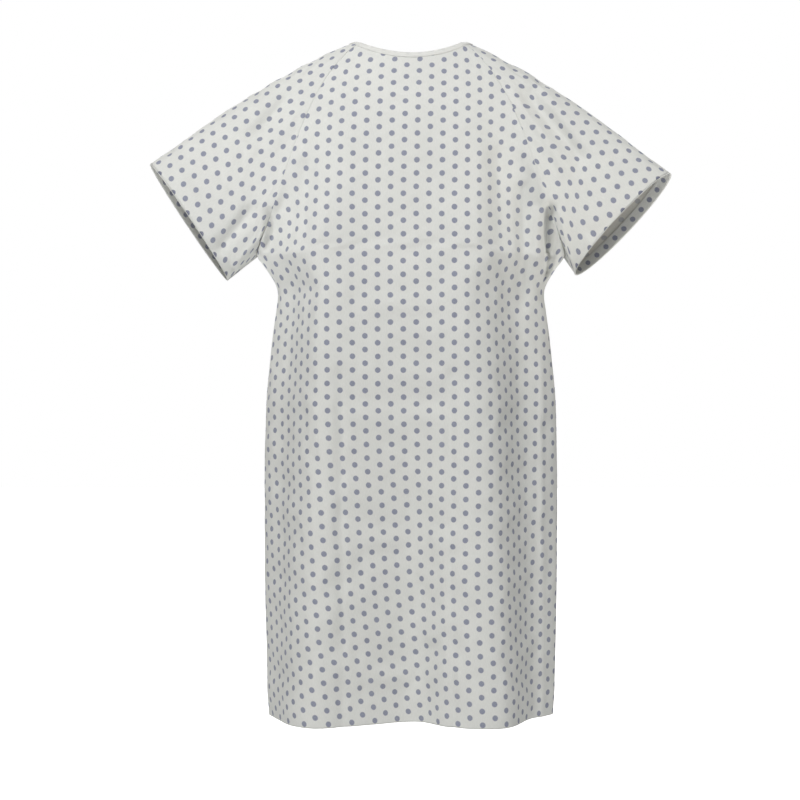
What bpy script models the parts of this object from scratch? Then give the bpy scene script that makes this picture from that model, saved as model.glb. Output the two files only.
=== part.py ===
"""A patient gown that opens at the back: raglan sleeves, bound neck, turned hems, neck and waist ties.

Metres, +Z up, the front faces -Y and the wearer's left is +X. The origin lies midway between the two
high points of the neck, where the shoulders or a hanger hold the gown up. Each piece of cloth is a thin
closed shell of its own. The back flaps, the sleeves and the four ties are the pieces that move.
"""

from math import asin, cos, pi, radians, sin, sqrt, tan

import bmesh
import bpy
from mathutils import Vector

# ---- driving dimensions -------------------------------------------------------------------------
LENGTH = 1.14            # neck high point down to the bottom hem
ARMPIT_DROP = 0.36       # neck high point down to the armpit
ARMPIT_HALF = 0.260      # centre line out to the armpit
NECK_HALF = 0.087        # centre line out to the neck high point
NECK_DEPTH = 0.045       # how far the raglan seams start in front of and behind the neck high point
NECK_BOW = 0.012         # how far the side of the neck opening bows out
NECK_DIP = 0.020         # how far the neckline falls at its middle
NECK_ARC = 0.55          # share of a quarter turn that the neckline still bends through
NECK_ARCH_SHARE = 0.06   # share of a sleeve's ring taken by half of the side of the neck

# drop below the neck and half width there, down the side of the body
BODY_OUTLINE = [(0.36, 0.260), (0.416, 0.227), (0.50, 0.235), (0.61, 0.245), (0.80, 0.247), (1.14, 0.240)]
# drop below the neck and depth of the cloth there, on the centre line
FRONT_DEPTHS = [(0.0, 0.080), (0.10, 0.108), (0.22, 0.124), (0.42, 0.130), (0.80, 0.136), (1.14, 0.146)]
BACK_DEPTHS = [(0.0, 0.072), (0.10, 0.100), (0.22, 0.114), (0.42, 0.118), (0.80, 0.124), (1.14, 0.132)]

SLEEVE_TIP = Vector((0.440, -0.030, -0.212))      # top of the sleeve's hem
SLEEVE_FOOT = Vector((0.303, -0.012, -0.398))     # underarm end of the sleeve's hem
SLEEVE_OPEN = 0.056      # half the depth of the sleeve's opening
SLEEVE_TURN = radians(12)  # how far the opening is turned to the front

CLOTH = 0.0015           # thickness of the stand-in cloth
TRIM = 0.0012            # thickness of facings, seam strips and ties
SKIN_GAP = 0.0006        # between layers that lie on each other
STRIP_GAP = 0.0022       # between the cloth and the seam strips, which bridge the bend at a seam
SEAM_GAP = 0.0010        # half the gap between pieces that are sewn edge to edge
HEM_WIDTH = 0.025
SLEEVE_HEM_WIDTH = 0.018
FACING_WIDTH = 0.024
BINDING_RADIUS = 0.0035
BINDING_CLEAR = 0.0060   # edge of the cloth below the middle of the neck binding
SEAM_STRIP = 0.007       # half the width of a seam allowance

BACK_GAP = 0.006         # half the gap between the two edges of the back opening
FLAP_TOP = Vector((0.062, 0.118, 0.0))       # the line a back flap turns on
FLAP_FOOT = Vector((0.160, 0.106, -LENGTH))

SLEEVE_HINGE_TOP = Vector((0.213, 0.0, -0.080))   # the line a sleeve swings on
SLEEVE_HINGE_FOOT = Vector((0.272, 0.0, -0.377))
SLEEVE_SWING = radians(25)   # each way
SLEEVE_SPARE = radians(3)    # extra room between sleeve and shoulder at full swing

TIE_WIDTH = 0.012
TIE_LENGTH = 0.28
NECK_TIE_X = 0.016
NECK_TIE_DROP = 0.034
WAIST_TIE_X = 0.026
WAIST_DROP = 0.470
PATCH = 0.020            # side of the square that a waist tie is sewn under
PATCH_GAP = 0.003        # between the patch and the tie that swings below it

CLOTH_COLOUR = (0.77, 0.78, 0.75)
TRIM_COLOUR = (0.80, 0.81, 0.78)
TIE_COLOUR = (0.82, 0.82, 0.80)


# ---- small curve helpers ------------------------------------------------------------------------
def mix(a, b, share):
    return a + (b - a) * share


def along(keys, place):
    """Reads a smooth curve through (place, value) keys."""
    last = len(keys) - 2
    k = max(i for i in range(last + 1) if keys[i][0] <= place or i == 0)
    (p1, v1), (p2, v2) = keys[k], keys[k + 1]
    before = keys[k - 1] if k else keys[k]
    after = keys[k + 2] if k < last else keys[k + 1]
    share = min(1.0, max(0.0, (place - p1) / (p2 - p1)))
    slope1 = (v2 - before[1]) / (p2 - before[0]) * (p2 - p1)
    slope2 = (after[1] - v1) / (after[0] - p1) * (p2 - p1)
    cubic = 2 * (v1 - v2) + slope1 + slope2
    square = 3 * (v2 - v1) - 2 * slope1 - slope2
    return ((cubic * share + square) * share + slope1) * share + v1


def bezier(a, b, c, d, share):
    rest = 1 - share
    return a * rest**3 + b * 3 * rest**2 * share + c * 3 * rest * share**2 + d * share**3


# ---- the shape of the gown ----------------------------------------------------------------------
def raglan_point(face, rise):
    """The raglan seam of the +X side: rise is 0 at the armpit and 1 at the neck, face is -1 in front."""
    down = 1 - rise
    flat = bezier(
        Vector((NECK_HALF, 0, 0)),
        Vector((0.178, 0, -0.078)),
        Vector((0.204, 0, -0.248)),
        Vector((ARMPIT_HALF, 0, -ARMPIT_DROP)),
        down,
    )
    shoulder = 0.110 if face < 0 else 0.102
    depth = shoulder * sqrt(max(0.0, 1 - down**4)) - (shoulder - NECK_DEPTH) * rise**2
    return Vector((flat.x, face * depth, flat.z))


def body_row(face, level):
    """Edge point, depth, bend and dip of one row across the body. Level is 0 at the hem, 1 at the
    armpit and 2 at the neckline."""
    if level <= 1:
        drop = mix(LENGTH, ARMPIT_DROP, level)
        edge = Vector((along(BODY_OUTLINE, drop), 0, -drop))
        rise = 0.0
    else:
        rise = level - 1
        edge = raglan_point(face, rise)
    dip = NECK_DIP * rise**2
    depth = along(FRONT_DEPTHS if face < 0 else BACK_DEPTHS, -edge.z)
    bend = mix(1.0, NECK_ARC, rise) * pi / 2
    return edge, face * depth, bend, dip


def body_point(face, side, level):
    """A point of the body cloth. Side runs from -1 to 1 between the side seams, towards +X."""
    edge, depth, bend, dip = body_row(face, level)
    bow = (cos(bend * side) - cos(bend)) / (1 - cos(bend))
    x = edge.x * sin(bend * side) / sin(bend)
    return Vector((x, mix(edge.y, depth, bow), edge.z - dip * (1 - side * side)))


def side_at(face, x, level):
    """The side value at which a row of the body cloth reaches x."""
    edge, depth, bend, dip = body_row(face, level)
    return asin(x * sin(bend) / edge.x) / bend


def neck_side(turn):
    """The side of the neck opening at +X: turn runs from -1 in front to 1 behind."""
    return Vector((NECK_HALF + NECK_BOW * (1 - turn * turn), NECK_DEPTH * turn, 0))


def sleeve_start(ring):
    """The sleeve's sewn edge. Ring runs round the sleeve: 0 on top, 0.25 in front, 0.5 underneath."""
    ring %= 1.0
    face = -1 if ring <= 0.5 else 1
    half = min(ring, 1 - ring)
    if half < NECK_ARCH_SHARE:
        return neck_side(face * half / NECK_ARCH_SHARE)
    return raglan_point(face, (0.5 - half) / (0.5 - NECK_ARCH_SHARE))


def sleeve_end(ring):
    """The sleeve's hem, an oval whose opening is turned a little to the front."""
    middle = (SLEEVE_TIP + SLEEVE_FOOT) / 2
    reach = (SLEEVE_TIP - SLEEVE_FOOT) / 2
    outward = Vector((reach.z, 0, -reach.x)).normalized()
    across = outward * sin(SLEEVE_TURN) + Vector((0, cos(SLEEVE_TURN), 0))
    return middle + reach * cos(2 * pi * ring) - across * SLEEVE_OPEN * sin(2 * pi * ring)


def sleeve_point(ring, reach):
    """A point of the +X sleeve: reach is 0 on the raglan seam and 1 at the hem."""
    return mix(sleeve_start(ring), sleeve_end(ring), reach)


def hinge_reach(ring, way):
    """Where a ruling of the sleeve leaves the shoulder (way -1) or enters the sleeve (way 1). The two
    edges open away from each other with their distance from the hinge line, for the swing."""
    line = (SLEEVE_HINGE_FOOT - SLEEVE_HINGE_TOP).normalized()
    outward = Vector((-line.z, 0, line.x))
    spread = tan((SLEEVE_SWING + SLEEVE_SPARE) / 2)
    a, b = sleeve_start(ring), sleeve_end(ring)
    out_a = (a - SLEEVE_HINGE_TOP).dot(outward) - way * spread * abs(a.y)
    out_b = (b - SLEEVE_HINGE_TOP).dot(outward) - way * spread * abs(b.y)
    return (way * SEAM_GAP - out_a) / (out_b - out_a)


def mirrored(point, hand):
    return Vector((point.x * hand, point.y, point.z))


# ---- building -----------------------------------------------------------------------------------
def clear_scene():
    for old in list(bpy.data.objects):
        bpy.data.objects.remove(old, do_unlink=True)


def cloth_material(name, colour):
    material = bpy.data.materials.new(name)
    material.use_nodes = True
    shader = material.node_tree.nodes["Principled BSDF"]
    shader.inputs["Base Color"].default_value = (*colour, 1)
    shader.inputs["Roughness"].default_value = 0.9
    shader.inputs["Metallic"].default_value = 0.0
    material.diffuse_color = (*colour, 1)
    return material


def empty_on(name, place):
    """An empty on a joint's axis, which the moving pieces are parented to."""
    empty = bpy.data.objects.new(name, None)
    empty.location = place
    empty.empty_display_size = 0.03
    bpy.context.scene.collection.objects.link(empty)
    return empty


def attach(piece, empty):
    if empty is not None:
        piece.parent = empty
        piece.location = -empty.location


def sheet(name, surface, cells, inside, colour=CLOTH_COLOUR, thickness=CLOTH, lift=0.0, empty=None):
    """One piece of cloth. surface(u, v) gives its outer face for u and v from 0 to 1, cells is the number
    of faces each way, and inside is a point on the wearer's side of it. A lift moves the piece outwards
    along its own normals, and a negative one moves it inwards. The thickness goes inwards."""
    grid = bmesh.new()
    bmesh.ops.create_grid(grid, x_segments=cells[0], y_segments=cells[1], size=1)
    for vertex in grid.verts:
        vertex.co = surface((vertex.co.x + 1) / 2, (vertex.co.y + 1) / 2)
    bmesh.ops.remove_doubles(grid, verts=grid.verts, dist=1e-6)
    grid.normal_update()
    outwards = sum((f.calc_center_median() - inside).dot(f.normal) * f.calc_area() for f in grid.faces)
    if outwards < 0:
        bmesh.ops.reverse_faces(grid, faces=grid.faces)
        grid.normal_update()
    for vertex, normal in [(v, v.normal.copy()) for v in grid.verts]:
        vertex.co += normal * lift
    mesh = bpy.data.meshes.new(name)
    grid.to_mesh(mesh)
    grid.free()
    mesh.shade_smooth()
    mesh.materials.append(cloth_material(name + "_cloth", colour))
    piece = bpy.data.objects.new(name, mesh)
    bpy.context.scene.collection.objects.link(piece)
    shell = piece.modifiers.new("thickness", "SOLIDIFY")
    shell.thickness = thickness
    shell.offset = -1
    attach(piece, empty)
    return piece


def tube(name, points, radius, colour, empty=None):
    """A round strip of binding along a list of points."""
    curve = bpy.data.curves.new(name, "CURVE")
    curve.dimensions = "3D"
    spline = curve.splines.new("POLY")
    spline.points.add(len(points) - 1)
    for place, point in zip(spline.points, points):
        place.co = (*point, 1)
    curve.bevel_depth = radius
    curve.bevel_resolution = 2
    curve.use_fill_caps = True
    curve.materials.append(cloth_material(name + "_cloth", colour))
    piece = bpy.data.objects.new(name, curve)
    bpy.context.scene.collection.objects.link(piece)
    attach(piece, empty)
    return piece


# ---- the pieces ---------------------------------------------------------------------------------
def body_patch(face, sides, levels):
    """A stretch of body cloth between two side values and two levels. Either may be a function of the
    level, for an edge that wanders."""

    def surface(u, v):
        level = mix(levels[0], levels[1], v)
        low, high = [edge(level) if callable(edge) else edge for edge in sides]
        return body_point(face, mix(low, high, u), level)

    return surface


def level_at(drop):
    """The level of the body cloth at a drop below the neck, for drops below the armpit."""
    return (LENGTH - drop) / (LENGTH - ARMPIT_DROP)


NECK_CLIMB = (body_point(-1, 0, 2).z - body_point(-1, 0, 1.98).z) / 0.02   # at the neckline, per level
CLOTH_TOP = 2 - BINDING_CLEAR / NECK_CLIMB


def seam_edge(level):
    """The side value of the sewn edge of a body panel, a hair short of the seam."""
    return 1 - SEAM_GAP / body_row(-1, level)[0].x


def flap_line_x(drop):
    return mix(FLAP_TOP.x, FLAP_FOOT.x, drop / LENGTH)


def flap_side(level, shift=0.0):
    """The side value of the line between a back flap and the rest of the back."""
    return side_at(1, flap_line_x(-body_row(1, level)[0].z) + shift, level)


def opening_side(level, shift=0.0):
    """The side value of the flap's free edge at the centre back."""
    return side_at(1, BACK_GAP + shift, level)


def front_panel():
    sides = (lambda level: -seam_edge(level), seam_edge)
    sheet("front_panel", body_patch(-1, sides, (0, CLOTH_TOP)), (22, 26), Vector((0, 0, -0.6)))


def back_panels(hand, name, flap_empty):
    def side_back(u, v):
        edges = (lambda level: flap_side(level, SEAM_GAP), seam_edge)
        return mirrored(body_patch(1, edges, (0, CLOTH_TOP))(u, v), hand)

    def flap(u, v):
        edges = (opening_side, lambda level: flap_side(level, -SEAM_GAP))
        return mirrored(body_patch(1, edges, (0, CLOTH_TOP))(u, v), hand)

    inside = Vector((0, 0, -0.6))
    sheet(name + "_side_back", side_back, (6, 26), inside)
    sheet(name + "_back_flap", flap, (6, 26), inside, empty=flap_empty)


def ring_clearance(ring):
    """How far from the sewn edge the shoulder cloth starts, which is more beside the neck binding."""
    half = min(ring % 1.0, 1 - ring % 1.0)
    corner = raglan_point(-1, 1)
    beyond = (sleeve_start(half) - corner).length if half > NECK_ARCH_SHARE else 0.0
    return max(SEAM_GAP, BINDING_CLEAR - beyond)


def sleeve_pieces(hand, name, sleeve_empty):
    def shoulder(u, v):
        length = (sleeve_end(u) - sleeve_start(u)).length
        reach = mix(ring_clearance(u) / length, hinge_reach(u, -1), v)
        return mirrored(sleeve_point(u, reach), hand)

    def sleeve(u, v):
        return mirrored(sleeve_point(u, mix(hinge_reach(u, 1), 1, v)), hand)

    def hem(u, v):
        length = (sleeve_end(u) - sleeve_start(u)).length
        reach = mix(1 - SLEEVE_HEM_WIDTH / length, 1 - SEAM_GAP / length, v)
        return mirrored(sleeve_point(u, reach), hand)

    middle = mirrored(Vector((0.27, 0, -0.22)), hand)
    sheet(name + "_shoulder", shoulder, (32, 3), middle)
    sheet(name + "_sleeve", sleeve, (32, 4), middle, empty=sleeve_empty)
    under = -CLOTH - SKIN_GAP
    sheet(name + "_sleeve_hem", hem, (32, 1), middle, TRIM_COLOUR, TRIM, under, sleeve_empty)


def hems(flap_empties):
    """The turned hems, inside the bottom edge: one round the front and sides, one on each flap."""
    top = level_at(LENGTH - HEM_WIDTH)
    low = level_at(LENGTH - SEAM_GAP)
    under = -CLOTH - SKIN_GAP
    inside = Vector((0, 0, -LENGTH))
    back_end = 2 - flap_side(0, SEAM_GAP)

    def round_front(u, v):
        side = mix(-back_end, back_end, u)
        level = mix(low, top, v)
        if abs(side) <= 1:
            return body_point(-1, side, level)
        return body_point(1, (2 - abs(side)) * (1 if side > 0 else -1), level)

    sheet("bottom_hem", round_front, (36, 1), inside, TRIM_COLOUR, TRIM, under)
    for hand, name in ((1, "left"), (-1, "right")):

        def on_flap(u, v, hand=hand):
            level = mix(low, top, v)
            side = mix(opening_side(level), flap_side(level, -SEAM_GAP), u)
            return mirrored(body_point(1, side, level), hand)

        sheet(name + "_flap_hem", on_flap, (6, 1), inside, TRIM_COLOUR, TRIM, under, flap_empties[name])


def facing(hand, name, flap_empty):
    """The turned edge down the back opening, from the neck binding to the hem."""
    low = level_at(LENGTH - HEM_WIDTH - SEAM_GAP)

    def surface(u, v):
        level = mix(low, CLOTH_TOP, v)
        side = mix(opening_side(level), opening_side(level, FACING_WIDTH), u)
        return mirrored(body_point(1, side, level), hand)

    under = -CLOTH - SKIN_GAP
    inside = Vector((0, 0, -0.6))
    sheet(name + "_back_facing", surface, (1, 26), inside, TRIM_COLOUR, TRIM, under, flap_empty)


def seam_strips(hand, name):
    """The seam allowances inside: two raglan seams and one side seam on each side of the body."""
    under = -CLOTH - STRIP_GAP
    middle = mirrored(Vector((0.12, 0, -0.3)), hand)
    for face, place in ((-1, "front"), (1, "back")):

        def raglan(u, v, face=face):
            rise = mix(0.10, 0.93, v)
            ring = mix(0.5, NECK_ARCH_SHARE, rise)
            ring = ring if face < 0 else 1 - ring
            on_seam = raglan_point(face, rise)
            if u < 0.5:
                width = SEAM_STRIP / on_seam.x
                return mirrored(body_point(face, 1 - width * (1 - 2 * u), 1 + rise), hand)
            length = (sleeve_end(ring) - sleeve_start(ring)).length
            return mirrored(sleeve_point(ring, SEAM_STRIP / length * (2 * u - 1)), hand)

        sheet(f"{name}_{place}_raglan_seam", raglan, (2, 18), middle, TRIM_COLOUR, TRIM, under)

    def side_seam(u, v):
        level = mix(level_at(LENGTH - HEM_WIDTH - 2 * SEAM_GAP), level_at(ARMPIT_DROP + 0.10), v)
        width = SEAM_STRIP / along(FRONT_DEPTHS, 0.8)
        face = -1 if u <= 0.5 else 1
        return mirrored(body_point(face, 1 - width * abs(1 - 2 * u), level), hand)

    sheet(name + "_side_seam", side_seam, (2, 16), Vector((0, 0, -0.7)), TRIM_COLOUR, TRIM, under)


def neck_bindings(flap_empties):
    """The bias binding round the neck: one length on the front and shoulders, one on each back flap."""
    front = [body_point(-1, mix(-1, 1, k / 20), 2) for k in range(21)]
    side = [neck_side(mix(-1, 1, k / 6)) for k in range(1, 7)]
    root_end = side_at(1, FLAP_TOP.x + SEAM_GAP, 2)
    back = [body_point(1, mix(1, root_end, k / 3), 2) for k in range(1, 4)]
    left_end = side + back
    right_end = [mirrored(point, -1) for point in reversed(left_end)]
    tube("neck_binding", right_end + front + left_end, BINDING_RADIUS, TRIM_COLOUR)
    for hand, name in ((1, "left"), (-1, "right")):
        ends = side_at(1, FLAP_TOP.x - SEAM_GAP, 2), side_at(1, BACK_GAP, 2)
        points = [mirrored(body_point(1, mix(*ends, k / 8), 2), hand) for k in range(9)]
        tube(name + "_back_binding", points, BINDING_RADIUS, TRIM_COLOUR, flap_empties[name])


def back_at(x, drop):
    """A point of the back's outer face at x, by its height."""
    low, high = 0.0, 2.0
    for _ in range(40):
        level = (low + high) / 2
        point = body_point(1, side_at(1, x, level), level)
        low, high = (level, high) if -point.z > drop else (low, level)
    return point


def tie(hand, name, x, drop):
    """A flat tape that hangs down the outside of a flap, on an empty at its sewn end."""
    top = back_at(x, drop) + Vector((0, SKIN_GAP, 0))
    empty = empty_on(name + "_pivot", mirrored(top, hand))

    def surface(u, v):
        point = back_at(x, drop + TIE_LENGTH * v)
        across = mix(-TIE_WIDTH / 2, TIE_WIDTH / 2, u)
        lift = 2 * SKIN_GAP + TRIM
        return mirrored(Vector((x + across, point.y + lift, point.z)), hand)

    inside = Vector((hand * x, 0, -drop - TIE_LENGTH / 2))
    sheet(name, surface, (1, 12), inside, TIE_COLOUR, TRIM, 0.0, empty)


def tie_patch(hand, name, flap_empty):
    """The square of cloth stitched over the sewn end of a waist tie."""
    def surface(u, v):
        x = WAIST_TIE_X + mix(-PATCH / 2, PATCH / 2, u)
        return mirrored(back_at(x, WAIST_DROP - PATCH_GAP - PATCH * v), hand)

    inside = Vector((0, 0, -WAIST_DROP))
    lift = SKIN_GAP + TRIM
    sheet(name + "_waist_tie_patch", surface, (2, 2), inside, TRIM_COLOUR, TRIM, lift, flap_empty)


def main():
    clear_scene()
    flap_empties = {}
    front_panel()
    for hand, name in ((1, "left"), (-1, "right")):
        flap_empties[name] = empty_on(name + "_flap_pivot", mirrored(FLAP_TOP, hand))
        sleeve_empty = empty_on(name + "_sleeve_pivot", mirrored(SLEEVE_HINGE_TOP, hand))
        back_panels(hand, name, flap_empties[name])
        sleeve_pieces(hand, name, sleeve_empty)
        facing(hand, name, flap_empties[name])
        seam_strips(hand, name)
        tie_patch(hand, name, flap_empties[name])
        tie(hand, name + "_neck_tie", NECK_TIE_X, NECK_TIE_DROP)
        tie(hand, name + "_waist_tie", WAIST_TIE_X, WAIST_DROP)
    hems(flap_empties)
    neck_bindings(flap_empties)


main()
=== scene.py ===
from math import cos, pi, radians, sin

import bmesh
import bpy
import numpy as np
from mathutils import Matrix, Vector, noise


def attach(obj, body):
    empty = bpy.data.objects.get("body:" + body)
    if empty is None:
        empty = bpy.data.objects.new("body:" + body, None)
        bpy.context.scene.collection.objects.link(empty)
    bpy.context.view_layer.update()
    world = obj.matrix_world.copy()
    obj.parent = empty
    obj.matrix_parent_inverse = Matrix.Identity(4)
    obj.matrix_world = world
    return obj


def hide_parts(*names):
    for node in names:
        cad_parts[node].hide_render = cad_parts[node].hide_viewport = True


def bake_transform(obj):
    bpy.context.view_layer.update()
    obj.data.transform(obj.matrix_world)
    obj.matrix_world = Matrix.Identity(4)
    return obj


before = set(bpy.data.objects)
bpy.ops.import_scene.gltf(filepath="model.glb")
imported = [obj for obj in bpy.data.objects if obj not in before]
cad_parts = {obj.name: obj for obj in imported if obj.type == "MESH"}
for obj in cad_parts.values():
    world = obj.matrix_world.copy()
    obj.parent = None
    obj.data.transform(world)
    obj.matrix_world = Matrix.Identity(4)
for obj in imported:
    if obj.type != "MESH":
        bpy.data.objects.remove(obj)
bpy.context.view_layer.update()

# ---- sizes, in metres. The origin is the neck high point, the front faces -Y ---------------------
LENGTH = 1.131           # neck high point down to the hem
ARMPIT = 0.36            # neck high point down to the armpit
ARMPIT_HALF = 0.260
NECK_HALF = 0.087
NECK_DEPTH = 0.045
NECK_BOW = 0.010
NECK_DIP = 0.024
BACK_DIP = 0.016
NECK_SHARE = 0.06        # share of a sleeve's ring taken by half the side of the neck
CLOTH = 0.0006           # thickness of the panels and sleeves
TRIM = 0.0007            # thickness of hems and facings
BINDING_CLOTH = 0.0005
ALLOWANCE_CLOTH = 0.0004
PATCH_CLOTH = 0.0006
TAPE_CLOTH = 0.0008
HEM = 0.024
SLEEVE_HEM = 0.018
FACING = 0.022
HEM_STITCHING = 0.0015   # stitching out from the inner edge of a hem, and of a facing
FACING_STITCHING = 0.002
BINDING = 0.0085         # visible height of the neck binding
SEAM_ROLL = 0.0005       # how far a sewn edge turns in
SEAM_REACH = 0.0026      # and over what distance
BACK_GAP = 0.006         # half the gap between the edges of the back opening
TIE_WIDTH = 0.012
TIE_LENGTH = 0.275
NECK_TIE = (0.016, -0.0342)    # across and up to the place where each tie swings
WAIST_TIE = (0.026, -0.4702)
WAIST_SEWN = 0.009       # length of a waist tie that lies under its patch
PATCH = 0.020            # width of a patch
PATCH_HEIGHT = -0.4580   # up to its middle
PATCH_STRETCH = 1.12     # its height for its width
COLUMN_START = 0.0488    # across from the centre line to a column of dots
ROW_START = 0.0054       # up from the hem to one of its dots

# ---- the cloth's print ----------------------------------------------------------------------------
DOT_COLUMNS = 0.0207     # between columns of dots
DOT_ROWS = 0.02208       # between the dots of a column; the next column is half of this lower
DOT_RADIUS = 0.0046
DOT_COLOUR = (0.175, 0.195, 0.30)
HEM_DOT = (0.055, 0.065, 0.16)   # two layers of print on the fold of a hem
THREAD_PITCH = 0.0011    # between the threads of the weave

# the outline of one side of the body as (drop below the neck, half width)
SIDE_LINE = [(0.36, 0.260), (0.385, 0.2415), (0.416, 0.2255), (0.455, 0.2285), (0.50, 0.2345), (0.61, 0.2445),
             (0.80, 0.2475), (1.08, 0.243), (1.136, 0.240)]
# how far the printed columns lean across, by drop below the neck
LEAN = [(0.0, 0.006), (0.06, 0.0049), (0.12, 0.0032), (0.19, 0.0016), (0.26, 0.0), (0.90, 0.0), (1.0, 0.004),
        (1.14, 0.009)]

DROPS = [0.0, 0.10, 0.20, 0.43, 0.62, 0.80, 1.136]
# the fold lines of the front, from the wearer's right to left. For each drop above: how far across from
# the centre line to the edge, and how far forward
FRONT_FOLDS = [
    # right side
    [(-0.93, 0.050), (-0.93, 0.084), (-0.93, 0.102), (-0.955, 0.034),
     (-0.955, 0.032), (-0.965, 0.028), (-0.98, 0.020)],
    # right hollow
    [(-0.80, 0.059), (-0.80, 0.094), (-0.81, 0.108), (-0.845, 0.066),
     (-0.85, 0.060), (-0.875, 0.056), (-0.925, 0.056)],
    [(-0.67, 0.066), (-0.68, 0.099), (-0.71, 0.118), (-0.755, 0.108),
     (-0.745, 0.104), (-0.76, 0.110), (-0.80, 0.122)],
    # right ridge
    [(-0.50, 0.072), (-0.54, 0.104), (-0.58, 0.125), (-0.64, 0.141),
     (-0.61, 0.140), (-0.61, 0.141), (-0.64, 0.147)],
    [(-0.28, 0.078), (-0.29, 0.110), (-0.30, 0.127), (-0.34, 0.140),
     (-0.34, 0.131), (-0.33, 0.121), (-0.34, 0.118)],
    # middle
    [(-0.06, 0.080), (-0.06, 0.112), (-0.06, 0.129), (-0.06, 0.141),
     (-0.03, 0.125), (0.01, 0.101), (0.04, 0.080)],
    [(0.16, 0.079), (0.16, 0.112), (0.16, 0.129), (0.17, 0.142),
     (0.20, 0.134), (0.22, 0.129), (0.25, 0.132)],
    # left ridge
    [(0.42, 0.074), (0.42, 0.106), (0.40, 0.129), (0.39, 0.144),
     (0.39, 0.143), (0.41, 0.143), (0.47, 0.152)],
    [(0.60, 0.068), (0.60, 0.100), (0.57, 0.117), (0.55, 0.120),
     (0.54, 0.130), (0.57, 0.132), (0.64, 0.143)],
    # left hollow
    [(0.77, 0.060), (0.76, 0.090), (0.75, 0.094), (0.745, 0.064),
     (0.755, 0.054), (0.785, 0.052), (0.83, 0.050)],
    # left side
    [(0.90, 0.052), (0.90, 0.084), (0.89, 0.088), (0.88, 0.044),
     (0.89, 0.033), (0.90, 0.031), (0.925, 0.026)],
]

BACK_DROPS = [0.0, 0.021, 0.10, 0.20, 0.47, 0.80, 1.136]
# the same for one half of the back, from the opening outwards
BACK_FOLDS = [
    [(0.22, 0.059), (0.22, 0.0752), (0.22, 0.097), (0.22, 0.111),
     (0.22, 0.1172), (0.20, 0.122), (0.20, 0.130)],
    [(0.50, 0.056), (0.50, 0.069), (0.49, 0.090), (0.48, 0.106),
     (0.48, 0.107), (0.48, 0.106), (0.47, 0.098)],
    [(0.72, 0.052), (0.72, 0.063), (0.72, 0.083), (0.72, 0.099),
     (0.72, 0.087), (0.72, 0.094), (0.70, 0.102)],
    [(0.90, 0.047), (0.90, 0.056), (0.90, 0.078), (0.90, 0.093),
     (0.93, 0.046), (0.94, 0.046), (0.95, 0.042)],
]
# and how far back the edge of the opening is
BACK_EDGE = [0.0600, 0.0762, 0.098, 0.112, 0.1183, 0.124, 0.133]

# each sleeve: top and underarm end of its hem, half its depth, and its turn to the front
SLEEVES = {
    1: dict(tip=(0.435, -0.030, -0.223), foot=(0.276, -0.010, -0.390), open=0.052, turn=radians(18)),
    -1: dict(tip=(-0.437, -0.030, -0.2065), foot=(-0.3085, -0.010, -0.3995), open=0.048, turn=radians(9)),
}
TOP_ARCH = 0.013         # how far the top of a sleeve bows up between neck and hem

# soft folds that cross seams: both ends seen from the front as (x, z), half width, and the push forward
SOFT_FOLDS = [
    ((0.168, -0.096), (0.258, -0.222), 0.013, 0.0075),
    ((0.190, -0.092), (0.283, -0.205), 0.013, -0.0115),
    ((0.215, -0.090), (0.320, -0.200), 0.012, 0.0035),
    ((0.228, -0.285), (0.229, -0.402), 0.008, -0.0300),
    ((0.246, -0.290), (0.262, -0.372), 0.007, 0.0060),
    ((0.205, -0.290), (0.206, -0.420), 0.008, 0.0060),
    ((0.182, -0.250), (0.186, -0.440), 0.010, -0.0100),
    ((0.140, -0.200), (0.146, -0.400), 0.014, -0.0060),
    ((0.112, -0.180), (0.108, -0.380), 0.016, 0.0030),
    ((0.300, -0.330), (0.350, -0.300), 0.012, -0.0050),
    ((-0.116, -0.560), (-0.112, -1.180), 0.009, -0.0042),
    ((0.062, -0.560), (0.069, -1.180), 0.008, -0.0042),
    ((0.218, -0.480), (0.222, -1.180), 0.006, 0.0030),
    ((-0.200, -0.098), (-0.262, -0.168), 0.014, -0.0085),
    ((-0.178, -0.110), (-0.236, -0.190), 0.014, 0.0040),
    ((-0.262, -0.285), (-0.320, -0.352), 0.011, -0.0075),
    ((-0.240, -0.325), (-0.292, -0.376), 0.008, 0.0050),
    ((-0.232, -0.290), (-0.238, -0.392), 0.008, -0.0120),
    ((-0.206, -0.290), (-0.214, -0.400), 0.010, 0.0040),
    ((-0.170, -0.220), (-0.176, -0.420), 0.013, -0.0050),
]

SIDES = ((1, "left"), (-1, "right"))
BODY_MIDDLE = (0, 0, -0.6)            # a point inside the body
SLEEVE_MIDDLE = (0.27, -0.01, -0.22)  # a point inside the left sleeve
BODY_ROWS = 210          # points of a panel from the hem to the neck
FRONT_COLUMNS = 150      # and across it
BACK_COLUMNS = 84
RAGLAN_RINGS = 80        # points round a sleeve: along each raglan seam, and along the side of the neck
NECK_RINGS = 17
NECK_ROWS = 14           # points from the neck inwards that the neck binding follows


# ---- curves -----------------------------------------------------------------------------------------
def mix(a, b, share):
    return a + (b - a) * share


def smooth(share):
    share = np.clip(share, 0, 1)
    return share * share * (3 - 2 * share)


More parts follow.
